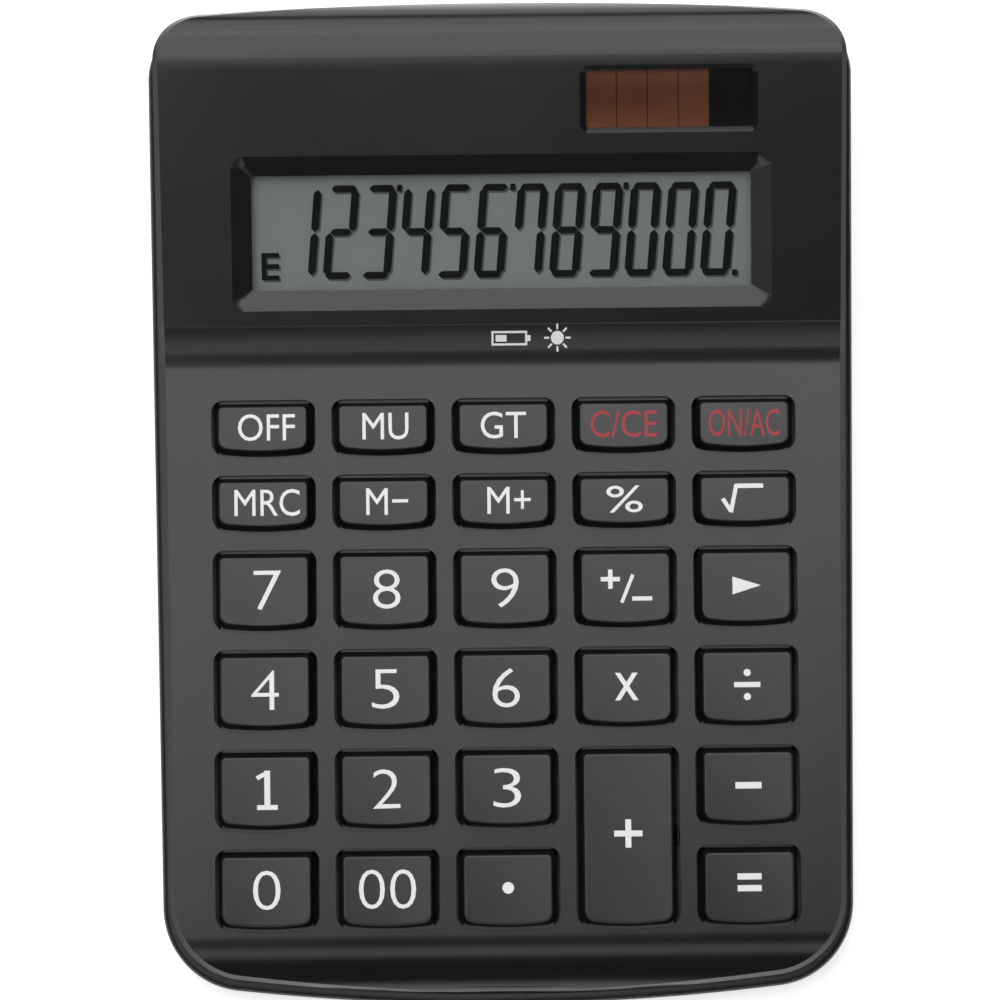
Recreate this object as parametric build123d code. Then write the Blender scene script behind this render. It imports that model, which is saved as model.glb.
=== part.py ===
from build123d import *
import math
import os

# A desk calculator as an assembly of separate pieces, in millimetres and degrees.
# X runs across it, Y from the user's side to the back, and Z up from the rubber feet.
# "Deck" is the sloping face with the keys, and "brow" the steeper face with the display.

# ------------------------------------------------------------------ housing, driving sizes
body_length = 146.6          # lower shell at its widest line, front to back
body_width = 102.4           # lower shell at its widest line, half way along
base_side_taper = 0.31       # each side of the footprint closes in towards the front
shell_draft = 3.0            # the lower shell's walls lean in towards the base
back_bow = 2.6               # how far the back edge bows out in plan
front_bow = 3.7
back_corner = 8.6            # plan corner radii of the lower shell
front_corner = 12.6

deck_slope = 5.0
deck_height = 18.1           # deck above the table, half way along
step_slope = 24.0
brow_slope = 13.0
step_foot = 20.0             # where the deck meets the step
step_run = 4.9               # length of the step, seen from above
front_roll_setback = 4.2     # the deck would meet the front slope this far inside the front
front_roll_slope = 61.0
front_roll_radius = 10.8
back_roll_setback = 3.4      # the brow would meet the back slope this far inside the back
back_roll_slope = 75.0
back_roll_radius = 7.5
step_foot_radius = 8.0
step_crest_radius = 3.0

foot_stand = 1.0             # the feet lift the base this far off the table
upper_wall = 2.0
lower_wall = 2.2
floor_thickness = 2.0
seam_depth = 5.5             # the parting line lies this far below the deck
seam_step = 1.45             # the lower shell stands this far outside the upper one
seam_gap = 0.25              # shadow gap between the two rims
tongue_length = 1.5
tongue_clearance = 0.15
rim_edge = 0.75              # edge break round the top of the upper shell
shoulder_radius = 1.1        # rounding of the lower shell's rim
base_edge_radius = 1.6

# ------------------------------------------------------------------ keys
key_rows = [
    ["off", "markup", "grand_total", "clear_entry", "on_clear"],
    ["memory_recall", "memory_minus", "memory_plus", "percent", "root"],
    ["7", "8", "9", "sign", "backspace"],
    ["4", "5", "6", "multiply", "divide"],
    ["1", "2", "3", "plus", "minus"],
    ["0", "00", "point", None, "equals"],
]
tall_key = "plus"            # spans its own row and the one in front of it
short_rows = 2               # rows of short keys at the back of the deck
opening_width = 15.15
short_opening = 8.6
full_opening = 12.15
opening_rib = 2.35           # deck left between two openings
front_row_centre = -56.55    # front row of keys, along the deck
opening_back_radius = 1.7
opening_front_radius = 2.4
opening_bow = 0.5            # the user's side of each key bows out
key_clearance = 0.3
key_stand = 2.5              # key tops above the deck
key_inset = 0.78             # each side of a key leans in by this much, from flange to top
key_dish_radius = 120.0      # hollow of the key top, across its width
key_top_thickness = 1.2
key_skirt_wall = 1.4
key_flange_reach = 0.45      # flange beyond the back and front edges of the opening
key_flange_inset = 1.0       # flange inside the sides of the opening
key_flange_thickness = 0.8
key_flange_gap = 0.15        # flange below the underside of the deck
key_travel = 1.3
plunger_width = 3.6
tall_plunger_spacing = 14.5

# ------------------------------------------------------------------ keypad and circuit board
dome_gap = 0.1
dome_pressed_height = 0.7    # a dome that is pressed flat
dome_base_radius = 4.0
dome_top_radius = 2.3
keypad_thickness = 1.0
keypad_side_gap = 3.4        # keypad inside the sides of the board
keypad_back = 16.0           # back edge of the keypad, along the deck
keypad_front = -63.2
keypad_corner = 4.0
board_thickness = 1.6
board_side_gap = 4.5         # board inside the sides of the housing
board_back = 16.8
board_front = -63.6
board_corner = 6.0
board_screw_rows = [0, 2, 4]  # screws in front of these rows of keys, counted from the back
board_boss_radius = 1.45     # slim enough to stand where four keys meet
board_boss_clearance = 0.3   # hole in the keypad round it
holder_boss_radius = 1.9
small_pilot_radius = 0.75
small_shank_radius = 0.7
small_shank_length = 4.5
small_head_radius = 1.6
small_head_height = 1.1
screw_hole_radius = 1.15     # holes for the small screws in the board and the display holder
pilot_spare = 0.15           # a pilot hole runs on past its screw

# ------------------------------------------------------------------ display
recess_depth = 1.1
recess_border = 2.9          # width of the sloping wall round the window
recess_corner = 1.6
window_width = 72.7
window_height = 16.7
window_corner = 0.4
window_centre = 13.4         # up the brow from the crest of the step
pane_thickness = 1.0
pane_margin = 1.6            # pane beyond the window on each side
glass_thickness = 1.1        # each of the two plates of the display cell
glass_margin = 1.2
ledge_depth = 2.2            # back plate left bare for the connector
stack_gap = 0.1
holder_border = 2.4
holder_thickness = 1.6
holder_wall = 1.2            # low wall round the display cell
holder_wall_height = 0.55
holder_clearance = 0.2
holder_screw_gap = 2.25      # middle of a screw to the glass, the pane or the solar cell
holder_screw_offset = 4.5    # middle of a screw to the side of the connector
holder_ear_radius = 2.4
connector_width = 60.0
connector_thickness = 0.3
connector_bend = 2.2
connector_margin = 0.2       # bare glass beside the connector's end
connector_drop = 1.4         # how far the connector stands in front of the display holder
connector_reach = 2.4        # overlap of the connector under the board

# ------------------------------------------------------------------ solar cell
solar_width = 24.5
solar_height = 8.4
solar_corner = 0.6
solar_side_gap = 26.7        # side of the housing to the middle of the cell
solar_centre = 32.5          # up the brow from the crest of the step
solar_edge = 0.7             # edge break round the opening
solar_pane_drop = 0.8        # pane below the brow
solar_pane_clearance = 0.1
solar_cell_margin = 1.4
solar_cell_thickness = 1.1

# ------------------------------------------------------------------ fasteners and feet
front_screw_x = 24.0
front_screw_setback = 5.7    # from the front of the housing
side_screw_setback = 6.2     # from the sides of the housing
side_screw_y = 21.0
back_screw_setback_x = 7.2
back_screw_setback_y = 10.3
seat_drop = 2.1              # joint between the posts, below the parting line
post_radius = 3.4
upper_post_radius = 2.6
case_web = 1.5               # plastic under each screw head
case_hole_radius = 1.4
case_bore_radius = 2.5
case_pilot_radius = 1.0
case_shank_radius = 0.95
case_shank_length = 5.4
case_head_radius = 2.1
case_head_height = 1.5
drive_width = 0.5            # cross slots in the screw heads
drive_depth = 0.5
drive_edge = 0.6             # plain rim of the head round its slots
foot_radius = 4.5
foot_recess = 0.6
foot_clearance = 0.1
foot_edge = 0.4
front_foot_setback_x = 11.2  # from the sides and the ends of the housing
front_foot_setback_y = 16.3
back_foot_setback_x = 15.2
back_foot_setback_y = 13.3

# ------------------------------------------------------------------ battery
battery_x = 0.0
battery_y = 40.0
cell_radius = 5.8
cell_height = 5.4
cell_cap_inset = 1.3         # the cell's negative cap is narrower than its can
cell_cap_height = 0.3
cell_gap = 0.3               # room round the cell
cell_stand = 0.05            # cell above the ledge that stops the door
well_wall = 1.3
well_roof = 1.2
spring_room = 1.15           # room for the sprung contact between the cell and the roof
door_width = 27.0            # rebate for the door
door_depth = 19.6
door_thickness = 1.6
door_corner = 2.0
door_gap = 0.2
door_shift = 3.6             # the door reaches further on the side of its screw
door_ledge_gap = 0.1
door_pad_margin = 1.6        # thickened floor round the rebate
door_pad_roof = 1.4
door_screw_x = 13.0
door_screw_radius = 0.9
door_screw_length = 5.0
door_head_radius = 1.8
door_head_height = 0.9
door_head_drop = 0.1         # screw head below the face of the door
door_head_clearance = 0.2
door_pilot_clearance = 0.1
door_boss_radius = 2.6
contact_width = 3.6
contact_thickness = 0.3
contact_slot = 0.2           # room round a contact where it passes through plastic
contact_tail = 2.0           # contact above the roof of the well
contact_foot = 1.5           # lower end of the side contact above the ledge
contact_bend = 0.5
contact_tab = 2.5            # bent-over end of the side contact
spring_reach = 2.5           # the sprung contact presses this far beyond the middle of the cell
spring_tail_x = 3.9
spring_drop = 0.05           # the sprung contact below the roof

# ------------------------------------------------------------------ parts on the board, and leads
chip_place = (12.0, 2.0)
chip_radius = 6.5
chip_height = 1.4
capacitor_place = (-19.0, 8.0)
capacitor_radius = 2.5
capacitor_length = 5.0
resistor_size = (3.2, 1.6, 0.6)
resistor_places = [(-12.0, 4.0), (-12.0, 8.0), (0.0, -8.0)]
lead_radius = 0.5
lead_end_y = 12.0            # where the leads meet the board
solar_lead_drop = 8.0        # each solar wire leaves the cell square to it for this far
lead_bend_share = 0.45       # share of each straight run that its bends may take
solar_lead_offset = 4.5      # first wire to the middle of the cell
solar_lead_spacing = 4.0
solar_lead_centre = 30.0     # up the brow from the crest of the step

# Routes of the leads, chosen by hand to keep them clear of the posts and the well.
battery_lead_turn_y = 33.0            # each battery wire runs level from its contact to here
negative_lead_dip = (-2.0, 20.0, 7.0)
positive_lead_dip = (-9.0, 20.0, 7.5)
negative_lead_end = (-4.0, 7.5)       # across, and the height from which it rises to the board
positive_lead_end = (-8.0, 7.0)
solar_lead_dips = [(-1.0, 30.0, 9.0), (-2.0, 18.0, 8.0)]  # the first number from the wire's start
solar_lead_end = (-1.0, 8.2)          # from the wire's start, and the height before it rises

far = 300.0                  # longer than anything here, for cutting tools

# ------------------------------------------------------------------ sizes and places that follow
half_length = body_length / 2
half_width = body_width / 2
front_roll_start = front_roll_setback - half_length
back_roll_start = half_length - back_roll_setback
board_width = body_width - 2 * board_side_gap
dome_height = key_travel + dome_pressed_height
keypad_width = board_width - 2 * keypad_side_gap
holder_screw_x = connector_width / 2 + holder_screw_offset
solar_x = half_width - solar_side_gap


def both_sides(*places):
    """The same places on the left and on the right."""
    return [(side * x, y) for x, y in places for side in (-1, 1)]


case_screw_places = both_sides(
    (front_screw_x, front_screw_setback - half_length),
    (half_width - side_screw_setback, side_screw_y),
    (half_width - back_screw_setback_x, half_length - back_screw_setback_y))
foot_places = both_sides(
    (half_width - front_foot_setback_x, front_foot_setback_y - half_length),
    (half_width - back_foot_setback_x, half_length - back_foot_setback_y))


# ------------------------------------------------------------------ reference planes
def sine(angle):
    return math.sin(math.radians(angle))


def cosine(angle):
    return math.cos(math.radians(angle))


def tangent(angle):
    return math.tan(math.radians(angle))


def deck_z(y):
    """Height of the deck's surface."""
    return deck_height + y * tangent(deck_slope)


def sloped_plane(y, z, angle):
    """A plane across the calculator, whose own Y runs up the slope towards the back."""
    return Plane(origin=(0, y, z), x_dir=(1, 0, 0), z_dir=(0, -sine(angle), cosine(angle)))


crest_y = step_foot + step_run
crest_z = deck_z(step_foot) + step_run * tangent(step_slope)
deck_origin_y = -seam_depth * sine(deck_slope)
deck_plane = sloped_plane(deck_origin_y, deck_z(deck_origin_y), deck_slope)
brow_plane = sloped_plane(crest_y, crest_z, brow_slope)
seam_plane = deck_plane.offset(-seam_depth)


def seam_z(y):
    """Height of the parting line."""
    return deck_z(y) - seam_depth / cosine(deck_slope)


def above(plane):
    """Everything above a plane, as a large block."""
    return plane * Pos(0, 0, far / 2) * Box(far, far, far)


def upright(x, y, bottom, top, radius):
    """A vertical cylinder between two heights."""
    return Pos(x, y, (bottom + top) / 2) * Cylinder(radius, top - bottom)


# ------------------------------------------------------------------ housing outlines
base_back_spread = (seam_z(half_length) - foot_stand) * tangent(shell_draft)
base_front_spread = (seam_z(-half_length) - foot_stand) * tangent(shell_draft)
base_mid_spread = (seam_z(0) - foot_stand) * tangent(shell_draft)
seam_side_taper = base_side_taper + math.degrees(tangent(deck_slope) * tangent(shell_draft))


def plan_outline(half_middle, front, back, taper, corner_change):
    """Footprint with bowed ends, straight sides that close in towards the front, and round corners."""
    back_side = back - back_bow
    front_side = front + front_bow
    back_half = half_middle + back_side * tangent(taper)
    front_half = half_middle + front_side * tangent(taper)
    outline = make_face([
        ThreePointArc((back_half, back_side), (0, back), (-back_half, back_side)),
        Line((-back_half, back_side), (-front_half, front_side)),
        ThreePointArc((-front_half, front_side), (0, front), (front_half, front_side)),
        Line((front_half, front_side), (back_half, back_side)),
    ])
    outline = fillet(outline.vertices().sort_by(Axis.Y)[-2:], back_corner + corner_change)
    return fillet(outline.vertices().sort_by(Axis.Y)[:2], front_corner + corner_change)


def lower_outline(inset):
    """Footprint of the lower shell at its base."""
    return plan_outline(
        half_width - base_mid_spread - inset, -half_length + base_front_spread + inset,
        half_length - base_back_spread - inset, base_side_taper, -inset - base_mid_spread)


def upper_outline(inset):
    """Footprint of the upper shell, which stands inside the lower shell's rim."""
    step = seam_step + inset
    return plan_outline(
        half_width - step, -half_length + step, half_length - step, seam_side_taper, -step)


def lower_blank(inset, bottom, top):
    """The drafted block of the lower shell, which widens upwards, between two heights."""
    spread = (bottom - foot_stand) * tangent(shell_draft)
    outline = lower_outline(inset - spread)
    return Pos(0, 0, bottom) * extrude(outline, amount=top - bottom, taper=-shell_draft)


def side_profile(inset):
    """The upper shell seen from the side: front roll, deck, step, brow and back roll."""
    brow_z = crest_z + (back_roll_start - crest_y) * tangent(brow_slope)
    reach = 14.0
    front_point = (front_roll_start - reach, deck_z(front_roll_start) - reach * tangent(front_roll_slope))
    back_point = (back_roll_start + reach, brow_z - reach * tangent(back_roll_slope))
    crown_line = FilletPolyline(
        front_point, (front_roll_start, deck_z(front_roll_start)), (step_foot, deck_z(step_foot)),
        (crest_y, crest_z), (back_roll_start, brow_z), back_point,
        radius=[front_roll_radius, step_foot_radius, step_crest_radius, back_roll_radius])
    under = Polyline(back_point, (back_point[0], -far), (front_point[0], -far), front_point)
    return offset(make_face([crown_line, under]), amount=-inset)


def upper_blank(inset):
    """The upper shell as a solid block: its side profile through its footprint."""
    across = extrude(Plane.YZ * side_profile(inset), amount=body_width, both=True)
    column = extrude(upper_outline(inset), amount=far / 4)
    return column & across


# ------------------------------------------------------------------ key layout
row_heights = [short_opening] * short_rows + [full_opening] * (len(key_rows) - short_rows)


def row_centre(row):
    """Middle of a row of keys, along the deck."""
    heights = row_heights[row:]
    reach = sum(heights) + opening_rib * (len(heights) - 1)
    return front_row_centre + reach - (heights[0] + heights[-1]) / 2


def key_layout():
    """Name, middle across, middle along the deck, and opening height of each key."""
    middle = (len(key_rows[0]) - 1) / 2
    keys = []
    for row, names in enumerate(key_rows):
        for column, name in enumerate(names):
            if name is None:
                continue
            across = (column - middle) * (opening_width + opening_rib)
            along = row_centre(row)
            height = row_heights[row]
            if name == tall_key:
                along = (row_centre(row) + row_centre(row + 1)) / 2
                height = row_heights[row] + opening_rib + row_heights[row + 1]
            keys.append((name, across, along, height))
    return keys


def key_outline(height, inset):
    """A key opening's outline: straight at the back, bowed out on the user's side."""
    half = opening_width / 2 - inset
    back = height / 2 - inset
    front = -height / 2 + inset
    outline = make_face([
        Line((half, back), (-half, back)),
        Line((-half, back), (-half, front + opening_bow)),
        ThreePointArc((-half, front + opening_bow), (0, front), (half, front + opening_bow)),
        Line((half, front + opening_bow), (half, back)),
    ])
    outline = fillet(outline.vertices().sort_by(Axis.Y)[-2:], opening_back_radius - inset)
    return fillet(outline.vertices().sort_by(Axis.Y)[:2], opening_front_radius - inset)


keys = key_layout()
flange_top = -upper_wall - key_flange_gap
flange_bottom = flange_top - key_flange_thickness
keypad_top = flange_bottom - dome_gap - dome_height
board_top = keypad_top - keypad_thickness
board_bottom = board_top - board_thickness


def plunger_places(height):
    """A tall key has two plungers, the others one."""
    if height > full_opening:
        return [-tall_plunger_spacing / 2, tall_plunger_spacing / 2]
    return [0]


# ------------------------------------------------------------------ keys
def key_cap(height):
    """A hollow cap with leaning sides, a dished top, a flange that holds it in, and plungers."""
    tall = key_stand - flange_bottom
    lean = math.degrees(math.atan(key_inset / tall))
    cap = Pos(0, 0, flange_bottom) * extrude(key_outline(height, key_clearance), amount=tall, taper=lean)
    half_top = opening_width / 2 - key_clearance - key_inset
    sag = key_dish_radius - math.sqrt(key_dish_radius ** 2 - half_top ** 2)
    cap -= Pos(0, 0, key_stand - sag + key_dish_radius) * Rot(90, 0, 0) * Cylinder(key_dish_radius, far)
    flange = Box(
        opening_width - 2 * key_flange_inset, height + 2 * key_flange_reach, key_flange_thickness)
    cap += Pos(0, 0, flange_bottom + key_flange_thickness / 2) * flange
    side = key_clearance + key_skirt_wall
    hollow_top = key_stand - key_top_thickness
    hollow = Box(opening_width - 2 * side, height - 2 * side - opening_bow, hollow_top - flange_bottom)
    cap -= Pos(0, opening_bow / 2, (hollow_top + flange_bottom) / 2) * hollow
    for place in plunger_places(height):
        plunger = Box(plunger_width, plunger_width, hollow_top - flange_bottom)
        cap += Pos(0, place, (hollow_top + flange_bottom) / 2) * plunger
    return cap


# ------------------------------------------------------------------ upper shell
display_stack = upper_wall + pane_thickness + 2 * glass_thickness + 2 * stack_gap
glass_width = window_width + 2 * glass_margin
glass_height = window_height + 2 * glass_margin


def board_screw_spots():
    """Screws of the board where four keys meet, across and along the deck."""
    across = 1.5 * (opening_width + opening_rib)
    rows = [row_centre(row) - (row_heights[row] + opening_rib) / 2 for row in board_screw_rows]
    return both_sides(*[(across, along) for along in rows])


def holder_screw_spots():
    """Screws round the display holder, across and up the brow: two in front of the glass, two behind."""
    front = window_centre - glass_height / 2 - ledge_depth - holder_screw_gap
    back = window_centre + window_height / 2 + pane_margin + holder_screw_gap
    beside_solar = solar_x - solar_width / 2 - solar_cell_margin - holder_screw_gap
    return both_sides((holder_screw_x, front)) + [(-holder_screw_x, back), (beside_solar, back)]


def seat_z(y):
    """Height where an upper screw post stands on a lower one."""
    return seam_z(y) - seat_drop


def display_recess():
    """The shallow picture-frame recess whose sloping walls meet in mitres round the window."""
    narrow = RectangleRounded(window_width, window_height, window_corner)
    wide = RectangleRounded(
        window_width + 2 * recess_border, window_height + 2 * recess_border, recess_corner)
    tool = loft([Pos(0, 0, -recess_depth) * narrow, wide], ruled=True)
    tool += extrude(wide, amount=recess_depth)
    return brow_plane * Pos(0, window_centre, 0) * tool


def window_hole():
    """The straight hole through what is left of the wall."""
    hole = extrude(RectangleRounded(window_width, window_height, window_corner), amount=-2 * upper_wall)
    return brow_plane * Pos(0, window_centre, 0) * hole


def solar_hole():
    """The opening over the solar cell, with its edge broken."""
    narrow = RectangleRounded(solar_width, solar_height, solar_corner)
    wide = RectangleRounded(
        solar_width + 2 * solar_edge, solar_height + 2 * solar_edge, solar_corner + solar_edge)
    hole = extrude(narrow, amount=2 * upper_wall, both=True)
    hole += loft([Pos(0, 0, -solar_edge) * narrow, wide], ruled=True)
    return brow_plane * Pos(solar_x, solar_centre, 0) * hole


def upper_shell():
    """The thin wall of the upper case, with the tongue that drops inside the lower shell."""
    outside = upper_blank(0)
    lowest = outside.bounding_box().min.Z
    edges = outside.edges().filter_by(lambda e: e.center().Z > lowest + 1)
    edges = edges.filter_by(Axis.Z, reverse=True).filter_by(Axis.X, reverse=True)
    rim_plane = seam_plane.offset(seam_gap)
    shell = (chamfer(edges, rim_edge) - upper_blank(upper_wall)) & above(rim_plane)
    tongue = extrude(upper_outline(lower_wall - seam_step + tongue_clearance), amount=far / 4)
    tongue -= extrude(upper_outline(upper_wall), amount=far / 4)
    tongue &= above(seam_plane.offset(-tongue_length))
    return shell + (tongue - above(rim_plane.offset(upper_wall)))


def upper_case():
    """The top of the housing: a thin wall under a compound profile, with all its openings and posts."""
    case = upper_shell()
    bosses = [upright(x, y, seat_z(y), far / 4, upper_post_radius) for x, y in case_screw_places]
    for across, along in board_screw_spots():
        boss = Cylinder(board_boss_radius, -board_top)
        bosses.append(deck_plane * Pos(across, along, board_top / 2) * boss)
    for across, along in holder_screw_spots():
        boss = Cylinder(holder_boss_radius, display_stack)
        bosses.append(brow_plane * Pos(across, along, -display_stack / 2) * boss)
    core = upper_blank(upper_wall / 2)
    for boss in bosses:
        case += boss & core
    cuts = [display_recess(), window_hole(), solar_hole()]
    for _, across, along, height in keys:
        hole = extrude(key_outline(height, 0), amount=3 * upper_wall, both=True)
        cuts.append(deck_plane * Pos(across, along, 0) * hole)
    for x, y in case_screw_places:
        top = seat_z(y) - case_web + case_shank_length + pilot_spare
        cuts.append(upright(x, y, seat_z(y) - 1, top, case_pilot_radius))
    board_pilot = Cylinder(small_pilot_radius, 2 * (small_shank_length - board_thickness + pilot_spare))
    for across, along in board_screw_spots():
        cuts.append(deck_plane * Pos(across, along, board_top) * board_pilot)
    holder_pilot = Cylinder(small_pilot_radius, 2 * (small_shank_length - holder_thickness + pilot_spare))
    for across, along in holder_screw_spots():
        cuts.append(brow_plane * Pos(across, along, -display_stack) * holder_pilot)
    for cut in cuts:
        case -= cut
    return case


# ------------------------------------------------------------------ lower shell
floor_top = foot_stand + floor_thickness
well_radius = cell_radius + cell_gap
ledge_z = foot_stand + door_thickness + door_ledge_gap
cell_bottom = ledge_z + cell_stand
cell_top = cell_bottom + cell_height
well_top = cell_top + spring_room
roof_top = well_top + well_roof
door_x = battery_x + door_shift
door_head_z = foot_stand + door_head_drop + door_head_height
door_screw_end = door_head_z + door_screw_length
lower_top = seam_z(half_length) + 2 * shoulder_radius


def rim_face(block):
    """The face of a block that lies in the parting plane."""
    return block.faces().filter_by(lambda f: abs(f.normal_at().dot(seam_plane.z_dir)) > 1 - 1e-6)[0]


def lower_tray():
    """Drafted walls with a rounded rim, and a floor."""
    outside = lower_blank(0, foot_stand, lower_top) - above(seam_plane)
    outside = fillet(rim_face(outside).edges(), shoulder_radius)
    outside = fillet(outside.faces().sort_by(Axis.Z)[0].edges(), base_edge_radius)
    return outside - lower_blank(lower_wall, floor_top, lower_top)


def door_rebate(margin):
    """Outline of the rebate for the battery door."""
    return RectangleRounded(door_width + 2 * margin, door_depth + 2 * margin, door_corner + margin)


def contact_box(x, bottom, top):
    """Room for an upright contact strip."""
    room = contact_thickness + 2 * contact_slot
    return Pos(x, battery_y, (bottom + top) / 2) * Box(room, contact_width + 2 * contact_slot, top - bottom)


side_contact_x = battery_x - cell_radius - contact_thickness / 2


def lower_case():
    """The deep tray, with screw posts, foot recesses and the battery well."""
    case = lower_tray()
    core = lower_blank(lower_wall / 2, foot_stand, lower_top)
    for x, y in case_screw_places:
        case += upright(x, y, foot_stand, seat_z(y), post_radius) & core
    pad = extrude(door_rebate(door_pad_margin), amount=ledge_z + door_pad_roof - foot_stand)
    case += Pos(door_x, battery_y, foot_stand) * pad
    case += upright(battery_x, battery_y, foot_stand, roof_top, well_radius + well_wall)
    case += upright(door_screw_x, battery_y, foot_stand, door_screw_end + well_roof, door_boss_radius)
    case -= Pos(door_x, battery_y, 0) * extrude(door_rebate(0), amount=ledge_z)
    case -= upright(battery_x, battery_y, foot_stand, well_top, well_radius)
    pilot_radius = door_screw_radius + door_pilot_clearance
    case -= upright(door_screw_x, battery_y, foot_stand, door_screw_end + pilot_spare, pilot_radius)
    case -= contact_box(side_contact_x, ledge_z + contact_foot - contact_slot, roof_top + 1)
    case -= contact_box(battery_x + spring_tail_x, well_top - 1, roof_top + 1)
    for x, y in case_screw_places:
        case -= upright(x, y, 0, seat_z(y) - case_web, case_bore_radius)
        case -= upright(x, y, 0, seat_z(y) + 1, case_hole_radius)
    for x, y in foot_places:
        case -= upright(x, y, 0, foot_stand + foot_recess, foot_radius + foot_clearance)
    return case


# ------------------------------------------------------------------ screws and feet
def screw(shank_radius, shank_length, head_radius, head_height):
    """A screw that points up, with the underside of its head at the origin and a cross slot below."""
    shank = Pos(0, 0, shank_length / 2) * Cylinder(shank_radius, shank_length)
    head = Pos(0, 0, -head_height / 2) * Cylinder(head_radius, head_height)
    reach = 2 * (head_radius - drive_edge)
    slots = Box(reach, drive_width, 2 * drive_depth) + Box(drive_width, reach, 2 * drive_depth)
    return shank + head - Pos(0, 0, -head_height) * slots


def case_screws():
    one = screw(case_shank_radius, case_shank_length, case_head_radius, case_head_height)
    return Compound(children=[Pos(x, y, seat_z(y) - case_web) * one for x, y in case_screw_places])


def board_screws():
    one = screw(small_shank_radius, small_shank_length, small_head_radius, small_head_height)
    on_board = [deck_plane * Pos(*spot, board_bottom) * one for spot in board_screw_spots()]
    holder_back = -display_stack - holder_thickness
    on_holder = [brow_plane * Pos(*spot, holder_back) * one for spot in holder_screw_spots()]
    return Compound(children=on_board + on_holder)


def rubber_feet():
    foot = Pos(0, 0, (foot_stand + foot_recess) / 2) * Cylinder(foot_radius, foot_stand + foot_recess)
    foot = chamfer(foot.edges().sort_by(Axis.Z)[0], foot_edge)
    return Compound(children=[Pos(x, y, 0) * foot for x, y in foot_places])


# ------------------------------------------------------------------ battery, its contacts and its door
def battery_door():
    """A flat plate that sits flush in the base, with a stepped hole for its screw."""
    outline = RectangleRounded(door_width - 2 * door_gap, door_depth - 2 * door_gap, door_corner - door_gap)
    door = Pos(door_x, battery_y, foot_stand) * extrude(outline, amount=door_thickness)
    door -= upright(door_screw_x, battery_y, 0, door_head_z, door_head_radius + door_head_clearance)
    return door - upright(door_screw_x, battery_y, 0, ledge_z, door_screw_radius + door_pilot_clearance)


def battery_door_screw():
    one = screw(door_screw_radius, door_screw_length, door_head_radius, door_head_height)
    return Pos(door_screw_x, battery_y, door_head_z) * one


def battery_cell():
    """A button cell, with its narrower negative cap on top."""
    can = upright(battery_x, battery_y, cell_bottom, cell_top - cell_cap_height, cell_radius)
    return can + upright(battery_x, battery_y, cell_bottom, cell_top, cell_radius - cell_cap_inset)


def strip(route, width):
    """A bent metal strip: its route in the XZ plane through the battery, given thickness and width."""
    line = FilletPolyline(*route, radius=contact_bend)
    across = Plane(origin=(0, battery_y, 0), x_dir=(1, 0, 0), z_dir=(0, -1, 0))
    return extrude(across * trace(line, contact_thickness), amount=width / 2, both=True)


def battery_contact_positive():
    """A strip beside the can, with its tail bent over above the roof of the well."""
    tail_z = roof_top + contact_tail
    foot = (side_contact_x, ledge_z + contact_foot)
    return strip([foot, (side_contact_x, tail_z), (side_contact_x + contact_tab, tail_z)], contact_width)


def battery_contact_negative():
    """A leaf spring from the top of the cell to a tail through the roof."""
    low = cell_top + contact_thickness / 2
    high = well_top - contact_thickness / 2 - spring_drop
    tail_x = battery_x + spring_tail_x
    route = [
        (battery_x - spring_reach, low), (battery_x, low), (tail_x - contact_width / 2, high),
        (tail_x, high), (tail_x, roof_top + contact_tail)]
    return strip(route, contact_width)


# ------------------------------------------------------------------ display and solar cell
glass_top = -upper_wall - pane_thickness - stack_gap
plate_top = glass_top - glass_thickness
plate_centre = window_centre - ledge_depth / 2


def display_window():
    """The clear pane under the wall of the recess."""
    pane = Box(window_width + 2 * pane_margin, window_height + 2 * pane_margin, pane_thickness)
    return brow_plane * Pos(0, window_centre, -upper_wall - pane_thickness / 2) * pane


def display_cell():
    """Two glass plates; the back one reaches further forward, as a ledge for the connector."""
    front = Box(glass_width, glass_height, glass_thickness)
    back = Box(glass_width, glass_height + ledge_depth, glass_thickness)
    cell = Pos(0, window_centre, glass_top - glass_thickness / 2) * front
    return brow_plane * (cell + Pos(0, plate_centre, plate_top - glass_thickness / 2) * back)


def display_holder():
    """A frame behind the display cell, with a low wall round it and ears for its screws."""
    deep = glass_height + ledge_depth + 2 * holder_clearance
    wide = glass_width + 2 * holder_clearance
    body = RectangleRounded(wide + 2 * holder_wall, deep + 2 * holder_wall, holder_wall)
    frame = extrude(body, amount=-holder_thickness) + extrude(body, amount=holder_wall_height)
    frame -= extrude(Rectangle(wide, deep), amount=glass_thickness)
    opening = Rectangle(wide - 2 * holder_border, deep - 2 * holder_border)
    frame -= extrude(opening, amount=-holder_thickness)
    frame = Pos(0, plate_centre, -display_stack) * frame
    for across, along in holder_screw_spots():
        ear = extrude(Circle(holder_ear_radius), amount=-holder_thickness)
        room = extrude(Circle(holder_boss_radius + holder_clearance), amount=glass_thickness)
        room += Cylinder(screw_hole_radius, 3 * holder_thickness)
        spot = Pos(across, along, -display_stack)
        frame = frame + spot * ear - spot * room
    return brow_plane * frame


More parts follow.
